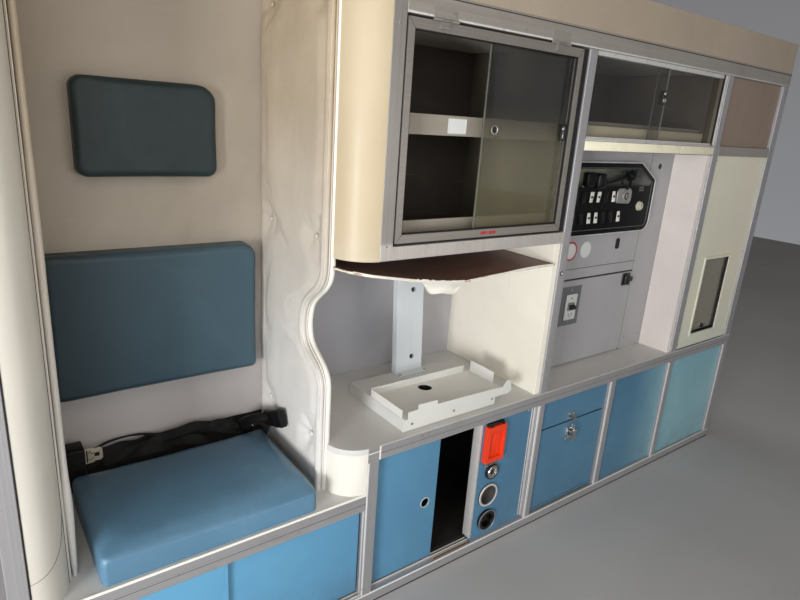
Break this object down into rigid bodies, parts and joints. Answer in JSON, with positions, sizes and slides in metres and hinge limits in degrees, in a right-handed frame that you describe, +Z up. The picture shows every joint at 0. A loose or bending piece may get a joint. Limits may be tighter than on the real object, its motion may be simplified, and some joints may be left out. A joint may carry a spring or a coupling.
{
  "type": "ambulance interior side-wall cabinet unit with attendant seat",
  "caption": "Built-in side wall unit of an ambulance patient compartment: buttoned seat alcove, worktop, overhead lockers with tinted sliders, control panel and blue lower doors.",
  "frame": {"origin": "bottom centre of the whole unit's box, on the floor", "axes": "+X along the wall to the right as seen from the aisle, +Y into the wall, +Z up"},
  "size_m": [3.039, 0.524, 1.898],
  "materials": {
    "aluminium": "satin anodised extrusion with fine drawn lines",
    "inner_aluminium": "pale satin aluminium frame",
    "white_board": "off-white laminated board",
    "back_laminate": "warm light grey laminate",
    "cream_column": "cream moulded corner, soft gloss",
    "header_beige": "beige satin panel",
    "blue_laminate": "mid blue laminate, soft gloss",
    "pad_vinyl": "blue vinyl over foam",
    "side_vinyl": "off-white upholstery vinyl, buttoned",
    "counter_laminate": "warm off-white worktop laminate",
    "tinted_acrylic": "bronze-grey tinted clear sheet",
    "black_plastic": "black moulded plastic",
    "belt_fabric": "black woven belt webbing",
    "steel": "plated steel",
    "chrome": "bright plated steel",
    "grey_panel": "light grey painted sheet",
    "control_black": "black control panel with a pale rim",
    "white_powder": "white powder-coated sheet",
    "bracket_paint": "pale blue-grey painted sheet",
    "brown_board": "brown hardboard, pale underside and edge",
    "orange_plastic": "orange-red moulded plastic",
    "end_grey_green": "grey-green painted panel",
    "end_mauve": "grey-mauve painted panel",
    "outlet_grey": "dark grey outlet frame"
  },
  "bodies": {
    "cabinet": {"base_rail": "aluminium", "lower_floor": "white_board", "back_panel": "back_laminate", "posts": "aluminium", "end_boards": "white_board", "edge_rails": "aluminium", "lower_dividers": "white_board", "partitions": "white_board", "columns": "cream_column", "seat_deck": "counter_laminate", "alcove_sides": "white_board", "side_pads": "side_vinyl", "seat_cushion": "pad_vinyl", "backrest": "pad_vinyl", "headrest": "pad_vinyl", "belt_sleeve": "black_plastic", "belt_tongue": "steel", "belt_webbing": "belt_fabric", "belt_buckle": "black_plastic", "slider_tracks": "inner_aluminium", "countertop": "counter_laminate", "tray_plate": "counter_laminate", "equipment_tray": "white_powder", "upright_bracket": "bracket_paint", "overhead_frame": "aluminium", "front_rails": "aluminium", "header_panel": "header_beige", "overhead_boards": "white_board", "overhead_shelf": "white_board", "lift_hinge_leaves": "aluminium", "liner_panel": "brown_board", "bay_back_board": "white_board", "access_panels": "grey_panel", "control_panel": "control_black", "socket_panel": "blue_laminate", "small_socket": "steel", "ring_port": "chrome", "dark_port": "black_plastic", "orange_handle": "orange_plastic", "latch_keeper": "chrome", "lower_panels": "blue_laminate", "end_panel": "end_grey_green", "end_overhead_panel": "end_mauve"},
    "lift_frame": {"lift_frame": "inner_aluminium"},
    "slider_left": {"slider_left": "tinted_acrylic", "slider_latch": "chrome"},
    "slider_right": {"slider_right": "tinted_acrylic"},
    "bay_slider_left": {"bay_slider_left": "tinted_acrylic", "bay_slider_latch": "chrome"},
    "bay_slider_right": {"bay_slider_right": "tinted_acrylic"},
    "seat_door_left": {"seat_door_left": "blue_laminate"},
    "seat_door_right": {"seat_door_right": "blue_laminate"},
    "sliding_door": {"sliding_door": "blue_laminate"},
    "access_door": {"access_door": "grey_panel", "outlet": "outlet_grey", "access_latch": "black_plastic"},
    "drop_door": {"drop_door": "blue_laminate", "draw_latch": "chrome"},
    "flap": {"flap": "grey_panel", "flap_knob": "black_plastic"}
  },
  "joints": [
    {"name": "lift_frame_hinge", "type": "hinge", "parent": "cabinet", "child": "lift_frame", "pos_m": [-0.2515, -0.246, 1.722], "axis": [-1, 0, 0], "range_deg": [0, 88]},
    {"name": "slider_left_slide", "type": "slide", "parent": "lift_frame", "child": "slider_left", "axis": [-1, 0, 0], "range_m": [-0.008, 0.268]},
    {"name": "slider_right_slide", "type": "slide", "parent": "lift_frame", "child": "slider_right", "axis": [-1, 0, 0], "range_m": [0, 0.282]},
    {"name": "bay_slider_left_slide", "type": "slide", "parent": "cabinet", "child": "bay_slider_left", "axis": [1, 0, 0], "range_m": [0, 0.37]},
    {"name": "bay_slider_right_slide", "type": "slide", "parent": "cabinet", "child": "bay_slider_right", "axis": [-1, 0, 0], "range_m": [0, 0.37]},
    {"name": "seat_door_left_slide", "type": "slide", "parent": "cabinet", "child": "seat_door_left", "axis": [1, 0, 0], "range_m": [0, 0.412]},
    {"name": "seat_door_right_slide", "type": "slide", "parent": "cabinet", "child": "seat_door_right", "axis": [-1, 0, 0], "range_m": [0, 0.398]},
    {"name": "sliding_door_slide", "type": "slide", "parent": "cabinet", "child": "sliding_door", "axis": [1, 0, 0], "range_m": [0, 0.165]},
    {"name": "access_door_hinge", "type": "hinge", "parent": "cabinet", "child": "access_door", "pos_m": [0.1565, -0.102, 0.75], "axis": [0, 0, -1], "range_deg": [0, 90]},
    {"name": "drop_door_hinge", "type": "hinge", "parent": "cabinet", "child": "drop_door", "pos_m": [0.347, -0.2315, 0.052], "axis": [1, 0, 0], "range_deg": [0, 90]},
    {"name": "flap_hinge", "type": "hinge", "parent": "cabinet", "child": "flap", "pos_m": [1.2345, -0.22, 0.97], "axis": [-1, 0, 0], "range_deg": [0, 90]}
  ]
}
